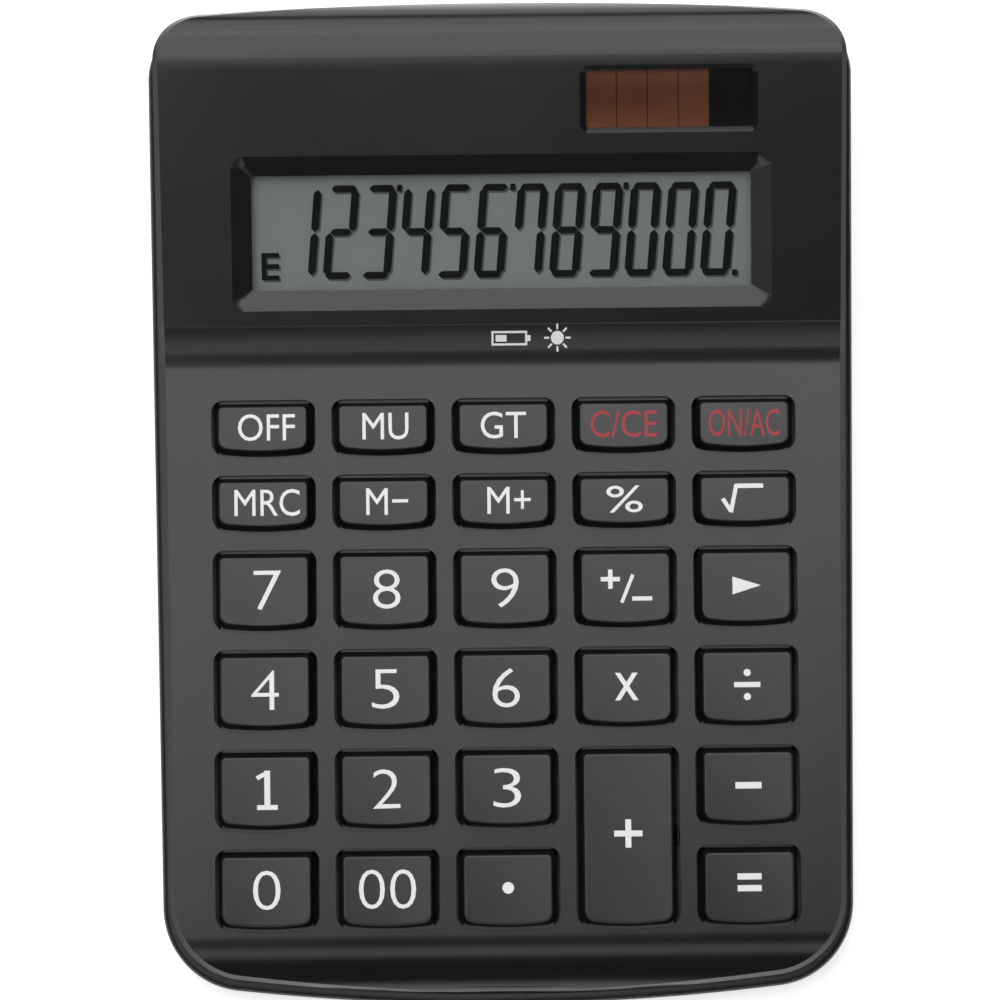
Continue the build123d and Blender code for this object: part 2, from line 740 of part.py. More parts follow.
def display_connector():
    """A flat cable from the ledge of the display cell, down and round under the edge of the board."""
    half = connector_thickness / 2
    ledge_back = window_centre - glass_height / 2 - connector_margin
    ledge_front = window_centre - glass_height / 2 - ledge_depth
    on_ledge = plate_top + half
    below_board = board_bottom - half
    turn = brow_plane.from_local_coords(Vector(0, ledge_front - holder_wall - connector_drop, on_ledge))
    board_end = deck_plane.from_local_coords(Vector(0, board_back - connector_reach, below_board))
    board_turn = deck_plane.from_local_coords(Vector(0, board_back + connector_drop, below_board))
    start = brow_plane.from_local_coords(Vector(0, ledge_back, on_ledge))
    route = [(point.Y, point.Z) for point in (start, turn, board_turn, board_end)]
    line = FilletPolyline(*route, radius=connector_bend)
    return extrude(Plane.YZ * trace(line, connector_thickness), amount=connector_width / 2, both=True)


def solar_window():
    """The clear block in its opening, resting on the cell."""
    gap = solar_pane_clearance
    outline = RectangleRounded(solar_width - 2 * gap, solar_height - 2 * gap, solar_corner - gap)
    pane = extrude(outline, amount=upper_wall - solar_pane_drop)
    return brow_plane * Pos(solar_x, solar_centre, -upper_wall) * pane


def solar_cell():
    margin = 2 * solar_cell_margin
    cell = Box(solar_width + margin, solar_height + margin, solar_cell_thickness)
    return brow_plane * Pos(solar_x, solar_centre, -upper_wall - solar_cell_thickness / 2) * cell


# ------------------------------------------------------------------ keypad, board and what it carries
def panel(width, back, front, thickness, corner):
    """A sheet parallel to the deck, with its two front corners rounded, hanging from the origin."""
    outline = Pos(0, (back + front) / 2) * Rectangle(width, back - front)
    outline = fillet(outline.vertices().sort_by(Axis.Y)[:2], corner)
    return extrude(outline, amount=-thickness)


def rubber_keypad():
    """A sheet with a dome under each plunger, and holes for the board's bosses."""
    sheet = panel(keypad_width, keypad_back, keypad_front, keypad_thickness, keypad_corner)
    sheet = Pos(0, 0, keypad_top) * sheet
    dome = Pos(0, 0, dome_height / 2) * Cone(dome_base_radius, dome_top_radius, dome_height)
    for _, across, along, height in keys:
        for place in plunger_places(height):
            sheet += Pos(across, along + place, keypad_top) * dome
    hole = Cylinder(board_boss_radius + board_boss_clearance, 3 * keypad_thickness)
    for across, along in board_screw_spots():
        sheet -= Pos(across, along, keypad_top) * hole
    return deck_plane * sheet


def main_board():
    """The circuit board, with holes for its screws."""
    board = panel(board_width, board_back, board_front, board_thickness, board_corner)
    board = Pos(0, 0, board_top) * board
    for across, along in board_screw_spots():
        board -= Pos(across, along, board_top) * Cylinder(screw_hole_radius, 3 * board_thickness)
    return deck_plane * board


def under_board(x, along, piece):
    """A piece hung from the underside of the board."""
    return deck_plane * Pos(x, along, board_bottom) * piece


def controller_chip():
    """A bare chip under a blob of resin."""
    blob = Cone(chip_radius - chip_height, chip_radius, chip_height)
    return under_board(*chip_place, Pos(0, 0, -chip_height / 2) * blob)


def capacitor():
    can = Cylinder(capacitor_radius, capacitor_length)
    return under_board(*capacitor_place, Pos(0, 0, -capacitor_length / 2) * can)


def resistors():
    block = Pos(0, 0, -resistor_size[2] / 2) * Box(*resistor_size)
    return Compound(children=[under_board(*place, block) for place in resistor_places])


# ------------------------------------------------------------------ leads
def lead(route, name):
    """A round wire along a route whose bends are as easy as its straight runs allow."""
    points = [Vector(*point) for point in route]
    radii = []
    for before, here, after in zip(points, points[1:], points[2:]):
        back = before - here
        ahead = after - here
        half_turn = (180 - back.get_angle(ahead)) / 2
        radii.append(lead_bend_share * min(back.length, ahead.length) / tangent(half_turn))
    line = FilletPolyline(*points, radius=radii)
    wire = sweep(Plane(origin=line @ 0, z_dir=line % 0) * Circle(lead_radius), path=line)
    expected = math.pi * lead_radius ** 2 * line.length
    print(f"{name}: bends {[round(radius, 1) for radius in radii]} mm, length {line.length:.1f} mm, "
          f"volume {wire.volume / expected:.4f} of the ideal")
    return wire


def board_underside(x):
    """The point under the board where a lead ends."""
    return (x, lead_end_y, deck_z(lead_end_y) + board_bottom / cosine(deck_slope))


def battery_leads():
    """Two wires from the tails of the contacts to the board."""
    beside = contact_thickness / 2 + lead_radius
    tail_z = roof_top + contact_tail / 2
    negative_x = battery_x + spring_tail_x + beside
    positive_x = side_contact_x - beside

    def route(contact_x, dip, end):
        end_x, end_z = end
        return [
            (contact_x, battery_y, tail_z), (contact_x, battery_lead_turn_y, tail_z), dip,
            (end_x, lead_end_y, end_z), board_underside(end_x)]

    negative = route(negative_x, negative_lead_dip, negative_lead_end)
    positive = route(positive_x, positive_lead_dip, positive_lead_end)
    return Compound(children=[lead(negative, "negative lead"), lead(positive, "positive lead")])


def solar_leads():
    """Two wires from the back of the solar cell, under the display holder, to the board."""
    wires = []
    for number in range(2):
        x = solar_x + solar_lead_offset + number * solar_lead_spacing
        cell_back = -upper_wall - solar_cell_thickness
        top = brow_plane.from_local_coords(Vector(x, solar_lead_centre, cell_back))
        turn = brow_plane.from_local_coords(Vector(x, solar_lead_centre, cell_back - solar_lead_drop))
        dips = [(x + across, y, z) for across, y, z in solar_lead_dips]
        end_x, end_z = x + solar_lead_end[0], solar_lead_end[1]
        route = [
            (top.X, top.Y, top.Z), (turn.X, turn.Y, turn.Z), *dips,
            (end_x, lead_end_y, end_z), board_underside(end_x)]
        wires.append(lead(route, f"solar lead {number + 1}"))
    return Compound(children=wires)


# ------------------------------------------------------------------ all the pieces
def all_pieces():
    pieces = {
        "upper_case": upper_case(),
        "lower_case": lower_case(),
        "case_screws": case_screws(),
        "rubber_feet": rubber_feet(),
        "battery_door": battery_door(),
        "battery_door_screw": battery_door_screw(),
        "battery_cell": battery_cell(),
        "battery_contact_positive": battery_contact_positive(),
        "battery_contact_negative": battery_contact_negative(),
        "battery_leads": battery_leads(),
        "display_window": display_window(),
        "display_cell": display_cell(),
        "display_holder": display_holder(),
        "display_connector": display_connector(),
        "solar_window": solar_window(),
        "solar_cell": solar_cell(),
        "solar_leads": solar_leads(),
        "main_board": main_board(),
        "board_screws": board_screws(),
        "controller_chip": controller_chip(),
        "capacitor": capacitor(),
        "resistors": resistors(),
        "rubber_keypad": rubber_keypad(),
    }
    caps = {height: key_cap(height) for height in {height for _, _, _, height in keys}}
    for name, across, along, height in keys:
        pieces["key_" + name] = deck_plane * Pos(across, along, 0) * caps[height]
    return pieces


if __name__ == "__main__":
    os.makedirs("parts", exist_ok=True)
    for node, shape in all_pieces().items():
        export_step(shape, f"parts/{node}.step")
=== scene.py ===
import math

import bmesh
import bpy
from mathutils import Matrix, Vector
from mathutils.bvhtree import BVHTree


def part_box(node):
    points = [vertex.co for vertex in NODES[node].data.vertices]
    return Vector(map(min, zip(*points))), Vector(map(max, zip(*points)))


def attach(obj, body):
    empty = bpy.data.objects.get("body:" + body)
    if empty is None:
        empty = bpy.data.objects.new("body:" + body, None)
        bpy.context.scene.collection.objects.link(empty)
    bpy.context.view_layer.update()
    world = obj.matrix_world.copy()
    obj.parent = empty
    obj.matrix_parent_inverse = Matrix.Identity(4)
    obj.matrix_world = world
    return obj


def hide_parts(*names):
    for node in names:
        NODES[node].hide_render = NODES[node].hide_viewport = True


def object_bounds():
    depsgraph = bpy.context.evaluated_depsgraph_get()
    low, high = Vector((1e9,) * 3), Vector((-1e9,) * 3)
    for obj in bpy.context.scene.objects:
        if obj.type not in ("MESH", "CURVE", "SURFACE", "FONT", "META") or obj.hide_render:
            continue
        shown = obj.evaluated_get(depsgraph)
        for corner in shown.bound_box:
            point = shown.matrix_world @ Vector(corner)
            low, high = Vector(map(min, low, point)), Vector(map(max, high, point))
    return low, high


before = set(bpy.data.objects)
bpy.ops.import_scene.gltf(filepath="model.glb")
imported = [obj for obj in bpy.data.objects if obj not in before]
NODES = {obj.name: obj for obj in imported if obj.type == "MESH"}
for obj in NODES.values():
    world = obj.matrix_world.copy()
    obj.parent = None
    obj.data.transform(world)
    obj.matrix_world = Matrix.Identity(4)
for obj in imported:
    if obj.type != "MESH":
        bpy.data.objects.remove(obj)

bl_info = {
    "name": "Desk Calculator Finish",
    "version": (1, 0, 0),
    "blender": (4, 5, 0),
    "location": "View3D > Sidebar > Calculator",
    "description": "Keys, legends, display and finishes of a desk calculator",
    "category": "Object",
}

MM = 0.001
CASE_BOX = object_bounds()

# Sizes of the solids that the frame doesn't give by itself.
CLEARANCE = 0.3 * MM        # a key inside its opening
FLANGE_REACH = 0.45 * MM    # a key's flange past the back and front of its opening
FLANGE_INSET = 1.0 * MM     # and inside its left and right
FLANGE_THICKNESS = 0.8 * MM
WINDOW_WIDTH = 72.7 * MM
WINDOW_HEIGHT = 16.7 * MM
STEP_FOOT = 20.0 * MM       # where the step below the display starts and ends
STEP_CREST = 24.9 * MM

ABOVE = CASE_BOX[1].z + 10 * MM
DOWN = Vector((0, 0, -1))


# ---------------------------------------------------------------- settings
class CalculatorSizes(bpy.types.PropertyGroup):
    deck_slope: bpy.props.FloatProperty(
        name="Deck slope", description="Tilt of the face with the keys",
        default=math.radians(5), unit="ROTATION")
    brow_slope: bpy.props.FloatProperty(
        name="Brow slope", description="Tilt of the face with the display",
        default=math.radians(13), unit="ROTATION")
    key_stand: bpy.props.FloatProperty(
        name="Key stand", description="Key tops above the deck", default=2.5 * MM, unit="LENGTH")
    key_edge: bpy.props.FloatProperty(
        name="Key edge", description="Rounding of the edge of a key top", default=0.3 * MM, unit="LENGTH")
    key_dish: bpy.props.FloatProperty(
        name="Key dish", description="How far the middle of a key top is hollowed",
        default=0.18 * MM, unit="LENGTH")
    print_height: bpy.props.FloatProperty(
        name="Print thickness", description="Printed legends above their surface",
        default=0.02 * MM, unit="LENGTH")
    digit_pitch: bpy.props.FloatProperty(
        name="Digit pitch", description="From one display digit to the next", default=5.5 * MM, unit="LENGTH")
    digit_height: bpy.props.FloatProperty(
        name="Digit height", description="Height of a display digit", default=13.8 * MM, unit="LENGTH")
    digit_width: bpy.props.FloatProperty(
        name="Digit width", description="Width of a display digit", default=4.45 * MM, unit="LENGTH")
    segment_width: bpy.props.FloatProperty(
        name="Segment width", description="Width of one bar of a display digit",
        default=1.15 * MM, unit="LENGTH")
    digit_lean: bpy.props.FloatProperty(
        name="Digit lean", description="Slant of the display digits",
        default=math.radians(5), unit="ROTATION")


class CalculatorColours(bpy.types.PropertyGroup):
    case: bpy.props.StringProperty(name="Case", description="Moulded case, sRGB", default="18181a")
    keys: bpy.props.StringProperty(name="Keys", description="Key tops, sRGB", default="1e1e20")
    legend: bpy.props.StringProperty(name="Legends", description="White printing ink, sRGB", default="fbfbf8")
    clear: bpy.props.StringProperty(
        name="Clear legends", description="Red printing ink, sRGB", default="b02c33")
    display: bpy.props.StringProperty(
        name="Display", description="Reflector of the display, sRGB", default="9fa8a2")
    segment: bpy.props.StringProperty(name="Segments", description="Dark segments, sRGB", default="090b0a")
    solar: bpy.props.StringProperty(
        name="Solar film", description="Film of the solar cell, sRGB", default="a86949")
    rubber: bpy.props.StringProperty(name="Rubber", description="Feet, sRGB", default="1a1a1a")


def sizes():
    return bpy.context.scene.calculator_sizes


def colours():
    return bpy.context.scene.calculator_colours


# ---------------------------------------------------------------- places from the frame
def tilted_box(node, slope):
    """Lowest and highest corner of a node along axes tilted up towards the back by a slope."""
    turn = Matrix.Rotation(-slope, 3, "X")
    corners = [turn @ vertex.co for vertex in NODES[node].data.vertices]
    low = Vector([min(c[i] for c in corners) for i in range(3)])
    high = Vector([max(c[i] for c in corners) for i in range(3)])
    return low, high


def on_slope(slope, x, y, z):
    """Transform that lays a flat shape on a slope, from a place in the slope's own axes."""
    return Matrix.Rotation(slope, 4, "X") @ Matrix.Translation((x, y, z))


# ---------------------------------------------------------------- meshes
def finished(bm, name, material, sharp=math.radians(32)):
    """A mesh object at the origin, smooth apart from its sharp edges."""
    for edge in bm.edges:
        edge.smooth = len(edge.link_faces) == 2 and edge.calc_face_angle(0) < sharp
    for face in bm.faces:
        face.smooth = True
    mesh = bpy.data.meshes.new(name)
    bm.to_mesh(mesh)
    bm.free()
    piece = bpy.data.objects.new(name, mesh)
    bpy.context.scene.collection.objects.link(piece)
    mesh.materials.append(material)
    return piece


def merged(node):
    """A moulding with its loose facets joined: curves shade smoothly, and flat faces stay flat."""
    bm = bmesh.new()
    bm.from_mesh(NODES[node].data)
    bmesh.ops.remove_doubles(bm, verts=bm.verts, dist=0.002 * MM)
    bmesh.ops.dissolve_limit(
        bm, angle_limit=math.radians(0.4), verts=bm.verts, edges=bm.edges, delimit={"NORMAL"})
    return bm


def cut_across(bm, place, direction):
    """Adds edges where a plane goes through."""
    bmesh.ops.bisect_plane(
        bm, geom=[*bm.verts, *bm.edges, *bm.faces], dist=0.001 * MM, plane_co=place, plane_no=direction)


def round_edges(bm, edges, radius, segments):
    """Replaces edges by rounds of a number of segments."""
    bmesh.ops.bevel(
        bm, geom=edges, offset=radius, offset_type="OFFSET", affect="EDGES", segments=segments,
        profile=0.5, material=-1, clamp_overlap=False)


def reshape_top(bm, start, end, drop):
    """Cuts the top into narrow strips between two places, and lowers it there by a drop.

    The drop is a function of the place and of the height of the top at any place. It fades out
    down the thickness of the wall, so that the inside of the wall stays where it is.
    """
    strip = 0.7 * MM
    beside_openings = -45 * MM
    still, fade = 1.6 * MM, 1.2 * MM
    tree = BVHTree.FromBMesh(bm)

    def height(y):
        return tree.ray_cast(Vector((beside_openings, y, ABOVE)), DOWN)[0].z

    steps = round((end - start) / strip)
    for step in range(steps + 1):
        cut_across(bm, (0, start + (end - start) * step / steps, 0), (0, 1, 0))
    for vertex in bm.verts:
        y = vertex.co.y
        if start < y < end:
            share = min(1, max(0, (vertex.co.z - height(y) + still) / fade))
            if share > 0:
                vertex.co.z -= share * drop(y, height)


def hollow_step(bm):
    """Lets the step below the display rise in a shallow hollow, steeper towards its crest."""
    depth = 0.13 * MM

    def drop(y, height):
        part = (y - STEP_FOOT) / (STEP_CREST - STEP_FOOT)
        return 4 * depth * part * (1 - part)

    reshape_top(bm, STEP_FOOT, STEP_CREST, drop)


def ease_back(bm):
    """Averages the height where the top turns over towards the back, so that its sheen fades in."""
    start, end, reach = 58 * MM, 69 * MM, 1.7 * MM
    parts = 6

    def drop(y, height):
        near = min(reach, y - start, end - y)
        around = [height(y + near * part / parts) for part in range(-parts, parts + 1)]
        return height(y) - sum(around) / len(around)

    reshape_top(bm, start, end, drop)


def weigh_normals(piece):
    """Lets large flat faces keep their own direction beside a rounded edge."""
    weighted = piece.modifiers.new("flat_faces", "WEIGHTED_NORMAL")
    weighted.keep_sharp = True
    weighted.weight = 90


def stand_in(piece, body, slot, *nodes):
    """Lets a piece ride on a body, and hides the solids that it stands for. Its slot is not used."""
    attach(piece, body)
    if nodes:
        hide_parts(*nodes)


def finish_nodes(material, *nodes):
    """Gives a material to solids that are shown as they are."""
    for node in nodes:
        NODES[node].data.materials.clear()
        NODES[node].data.materials.append(material)


def drop_print(piece, target, lift):
    """Lays a flat printed shape on the surface below it."""
    bm = bmesh.new()
    bm.from_mesh(target.data)
    tree = BVHTree.FromBMesh(bm)
    bm.free()
    for vertex in piece.data.vertices:
        hit = tree.ray_cast(Vector((vertex.co.x, vertex.co.y, ABOVE)), DOWN)[0]
        if hit is None:
            raise RuntimeError(f"{piece.name} reaches past the surface it is printed on")
        vertex.co.z = hit.z + lift


# ---------------------------------------------------------------- material helpers
def linear(code):
    """A colour written as sRGB hex, as the linear values that a shader takes."""
    parts = [int(code[i:i + 2], 16) / 255 for i in (0, 2, 4)]
    parts = [p / 12.92 if p <= 0.04045 else ((p + 0.055) / 1.055) ** 2.4 for p in parts]
    return (*parts, 1.0)


def per_mm(size):
    """Noise scale whose features are a size in millimetres, on coordinates in metres."""
    return 1 / (size * MM)


def add(tree, kind, inputs=None, **settings):
    """Adds a node, with its settings, and its inputs as values or as sockets to link."""
    made = tree.nodes.new(kind)
    for name, value in settings.items():
        setattr(made, name, value)
    for key, value in (inputs or {}).items():
        if isinstance(value, bpy.types.NodeSocket):
            tree.links.new(value, made.inputs[key])
        else:
            made.inputs[key].default_value = value
    return made


def new_material(name):
    material = bpy.data.materials.get(name) or bpy.data.materials.new(name)
    material.use_nodes = True
    material.node_tree.nodes.clear()
    return material, material.node_tree


def close(tree, shader):
    add(tree, "ShaderNodeOutputMaterial", {"Surface": shader})


def moulded(name, code, roughness, grain, depth, shade=0.12, ior=1.5):
    """Injection-moulded plastic: an even colour under a fine eroded grain from the tool.

    The grain, its depth and the patches that shade differently are in millimetres.
    """
    patch = 18
    spread = 0.03
    material, tree = new_material(name)
    place = add(tree, "ShaderNodeTexCoord").outputs["Object"]
    fine = add(tree, "ShaderNodeTexNoise", {"Vector": place, "Scale": per_mm(grain), "Detail": 2.0})
    broad = add(tree, "ShaderNodeTexNoise", {"Vector": place, "Scale": per_mm(patch), "Detail": 3.0})
    dark = [c * (1 - shade) for c in linear(code)[:3]] + [1]
    pale = [c * (1 + shade) for c in linear(code)[:3]] + [1]
    tint = add(tree, "ShaderNodeMix", {"Factor": broad.outputs["Fac"], 6: dark, 7: pale}, data_type="RGBA")
    gloss = add(tree, "ShaderNodeMapRange", {
        "Value": broad.outputs["Fac"], "To Min": roughness - spread, "To Max": roughness + spread})
    bump = add(tree, "ShaderNodeBump", {
        "Height": fine.outputs["Fac"], "Distance": depth * MM, "Strength": 1.0})
    close(tree, add(tree, "ShaderNodeBsdfPrincipled", {
        "Base Color": tint.outputs[2], "Roughness": gloss.outputs["Result"], "IOR": ior,
        "Normal": bump.outputs["Normal"]}).outputs["BSDF"])
    return material


def case_abs():
    """ABS, moulded in a spark-eroded tool: dark, with a satin sheen that follows its curves."""
    return moulded("case_moulded_abs", colours().case, roughness=0.21, grain=0.22, depth=0.003)


def base_abs():
    """ABS from a coarser tool, a little flatter than the top."""
    return moulded("base_moulded_abs", colours().case, roughness=0.4, grain=0.3, depth=0.006)


def key_abs():
    """ABS key caps, polished by fingers to a slightly brighter satin."""
    return moulded("key_moulded_abs", colours().keys, roughness=0.24, grain=0.2, depth=0.002)


def inner_abs():
    """Unfinished black ABS inside the case."""
    return moulded("inner_moulded_abs", "101011", roughness=0.5, grain=0.4, depth=0.006)


def rubber():
    """Moulded nitrile rubber: nearly black and matt, with a dusty bloom."""
    return moulded(
        "foot_moulded_rubber", colours().rubber, roughness=0.75, grain=0.35, depth=0.02, shade=0.3)


def silicone():
    """Pressed silicone sheet: pale grey and soft-looking."""
    return moulded(
        "keypad_pressed_silicone", "8d9092", roughness=0.55, grain=0.5, depth=0.01, shade=0.06, ior=1.41)


def ink(name, code):
    """Pad-printed ink: a thin even film, half matt, with hardly any grain."""
    return moulded(name, code, roughness=0.5, grain=0.15, depth=0.002, shade=0.04)


def vinyl():
    """Extruded red vinyl round the wires: smooth, with a soft gloss."""
    return moulded("lead_extruded_vinyl", "9c2a24", roughness=0.5, grain=0.15, depth=0.002, shade=0.04)


def plated_steel():
    """Zinc-plated steel, turned and tumbled: bright, with a fine uneven polish."""
    material, tree = new_material("screw_zinc_plated_steel")
    place = add(tree, "ShaderNodeTexCoord").outputs["Object"]
    noise = add(tree, "ShaderNodeTexNoise", {"Vector": place, "Scale": per_mm(0.4), "Detail": 3.0})
    gloss = add(tree, "ShaderNodeMapRange", {"Value": noise.outputs["Fac"], "To Min": 0.22, "To Max": 0.4})
    bump = add(tree, "ShaderNodeBump", {"Height": noise.outputs["Fac"], "Distance": 0.01 * MM})
    close(tree, add(tree, "ShaderNodeBsdfPrincipled", {
        "Base Color": linear("b9b8b4"), "Metallic": 1.0, "Roughness": gloss.outputs["Result"],
        "Normal": bump.outputs["Normal"]}).outputs["BSDF"])
    return material


def cell_steel():
    """Nickel-plated steel, drawn and stamped: bright, a little smoother than the screws."""
    material, tree = new_material("cell_nickel_plated_steel")
    place = add(tree, "ShaderNodeTexCoord").outputs["Object"]
    noise = add(tree, "ShaderNodeTexNoise", {"Vector": place, "Scale": per_mm(0.25), "Detail": 2.0})
    gloss = add(tree, "ShaderNodeMapRange", {"Value": noise.outputs["Fac"], "To Min": 0.18, "To Max": 0.3})
    close(tree, add(tree, "ShaderNodeBsdfPrincipled", {
        "Base Color": linear("c9c7c0"), "Metallic": 1.0,
        "Roughness": gloss.outputs["Result"]}).outputs["BSDF"])
    return material


def clear_acrylic():
    """Polished acrylic: clear, with the faint unevenness of a moulded pane."""
    material, tree = new_material("window_polished_acrylic")
    place = add(tree, "ShaderNodeTexCoord").outputs["Object"]
    noise = add(tree, "ShaderNodeTexNoise", {"Vector": place, "Scale": per_mm(25), "Detail": 1.0})
    bump = add(tree, "ShaderNodeBump", {"Height": noise.outputs["Fac"], "Distance": 0.01 * MM})
    close(tree, add(tree, "ShaderNodeBsdfPrincipled", {
        "Base Color": linear("fbfcfc"), "Roughness": 0.03, "IOR": 1.49, "Transmission Weight": 1.0,
        "Normal": bump.outputs["Normal"]}).outputs["BSDF"])
    return material


def display_glass():
    """The display cell: a grey-green reflector under a polariser, a little uneven in shade."""
    material, tree = new_material("display_polarised_glass")
    place = add(tree, "ShaderNodeTexCoord").outputs["Object"]
    noise = add(tree, "ShaderNodeTexNoise", {"Vector": place, "Scale": per_mm(30), "Detail": 2.0})
    pale = linear(colours().display)
    dark = [c * 0.88 for c in pale[:3]] + [1]
    tint = add(tree, "ShaderNodeMix", {"Factor": noise.outputs["Fac"], 6: dark, 7: pale}, data_type="RGBA")
    close(tree, add(tree, "ShaderNodeBsdfPrincipled", {
        "Base Color": tint.outputs[2], "Roughness": 0.45, "IOR": 1.5}).outputs["BSDF"])
    return material


def segment_dye():
    """Dark segments of the display: dull and nearly black."""
    return moulded(
        "display_dyed_segment", colours().segment, roughness=0.7, grain=0.2, depth=0.001, shade=0.1,
        ior=1.25)


def segment_shadow():
    """The soft shade that each segment throws on the reflector behind it."""
    return moulded("display_segment_shade", "59625d", roughness=0.6, grain=0.3, depth=0.001, shade=0.05)


def solar_film():
    """Amorphous silicon on glass: brown stripes between thin dark scribe lines, and a bare dark end."""
    film_share = 0.74
    stripes = 4
    scribe = 0.12 * MM
    material, tree = new_material("solar_silicon_film")
    window_low, window_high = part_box("solar_window")
    place = add(tree, "ShaderNodeTexCoord").outputs["Object"]
    axes = add(tree, "ShaderNodeSeparateXYZ", {"Vector": place})
    film_end = window_low.x + film_share * (window_high.x - window_low.x)
    bare = add(tree, "ShaderNodeMath", {0: axes.outputs["X"], 1: film_end}, operation="GREATER_THAN")
    noise = add(tree, "ShaderNodeTexNoise", {"Vector": place, "Scale": per_mm(4), "Detail": 3.0})
    film = linear(colours().solar)
    dark = [c * 0.8 for c in film[:3]] + [1]
    tint = add(tree, "ShaderNodeMix", {"Factor": noise.outputs["Fac"], 6: dark, 7: film}, data_type="RGBA")
    stripe = (film_end - window_low.x) / stripes
    across = add(tree, "ShaderNodeMath", {0: axes.outputs["X"], 1: window_low.x}, operation="SUBTRACT")
    wave = add(tree, "ShaderNodeMath", {0: across.outputs[0], 1: stripe}, operation="MODULO")
    line = add(tree, "ShaderNodeMath", {0: wave.outputs[0], 1: scribe}, operation="LESS_THAN")
    scribed = add(tree, "ShaderNodeMix", {
        "Factor": line.outputs[0], 6: tint.outputs[2], 7: linear("2b1c14")}, data_type="RGBA")
    colour = add(tree, "ShaderNodeMix", {
        "Factor": bare.outputs[0], 6: scribed.outputs[2], 7: linear("15100d")}, data_type="RGBA")
    close(tree, add(tree, "ShaderNodeBsdfPrincipled", {
        "Base Color": colour.outputs[2], "Roughness": 0.12, "IOR": 1.5}).outputs["BSDF"])
    return material


def board_laminate():
    """Glass-fibre laminate under green solder mask: a faint weave shows through."""
    yarn = 0.8
    material, tree = new_material("board_solder_masked_laminate")
    place = add(tree, "ShaderNodeTexCoord").outputs["Object"]
    weave = add(tree, "ShaderNodeTexChecker", {
        "Vector": place, "Scale": per_mm(yarn), "Color1": linear("1d5a33"), "Color2": linear("1a5230")})
    close(tree, add(tree, "ShaderNodeBsdfPrincipled", {
        "Base Color": weave.outputs["Color"], "Roughness": 0.35, "IOR": 1.5}).outputs["BSDF"])
    return material


def flat_cable():
    """Heat-sealed flat cable: amber film over conductors, drawn coarser than real so that they show."""
    conductor = 1.0 * MM
    material, tree = new_material("cable_laminated_film")
    place = add(tree, "ShaderNodeTexCoord").outputs["Object"]
    axes = add(tree, "ShaderNodeSeparateXYZ", {"Vector": place})
    wave = add(tree, "ShaderNodeMath", {0: axes.outputs["X"], 1: conductor}, operation="PINGPONG")
    line = add(tree, "ShaderNodeMath", {0: wave.outputs[0], 1: conductor / 2}, operation="LESS_THAN")
    tint = add(tree, "ShaderNodeMix", {
        "Factor": line.outputs[0], 6: linear("b9772e"), 7: linear("7a4718")}, data_type="RGBA")
    close(tree, add(tree, "ShaderNodeBsdfPrincipled", {
        "Base Color": tint.outputs[2], "Roughness": 0.3}).outputs["BSDF"])
    return material


# ---------------------------------------------------------------- cases
CASE_SHARP = math.radians(19)       # an edge of the cases that turns by more stays sharp


class CALCULATOR_OT_upper_case(bpy.types.Operator):
    """Gives the upper case its smooth moulded surface"""
    bl_idname = "calculator.upper_case"
    bl_label = "Upper Case"

    def execute(self, context):
        bm = merged("upper_case")
        hollow_step(bm)
        ease_back(bm)
        piece = finished(bm, "upper_case_moulding", case_abs(), CASE_SHARP)
        weigh_normals(piece)
        stand_in(piece, "housing", "case_plastic", "upper_case")
        return {"FINISHED"}


class CALCULATOR_OT_lower_case(bpy.types.Operator):
    """Gives the lower case its smooth moulded surface"""
    bl_idname = "calculator.lower_case"
    bl_label = "Lower Case"

    def execute(self, context):
        piece = finished(merged("lower_case"), "lower_case_moulding", base_abs(), CASE_SHARP)
        weigh_normals(piece)
        stand_in(piece, "housing", "base_plastic", "lower_case")
        return {"FINISHED"}


# ---------------------------------------------------------------- keys
def key_names():
    return [name for name in sorted(NODES) if name.startswith("key_")]


def key_shape(node):
    """Middle of a key on the deck's axes, deck level, the size of its opening, and its own bottom."""
    low, high = tilted_box(node, sizes().deck_slope)
    width = high.x - low.x + 2 * CLEARANCE
    height = high.y - low.y - 2 * FLANGE_REACH
    level = high.z - sizes().key_stand
    return (low.x + high.x) / 2, (low.y + high.y) / 2, level, width, height, low.z


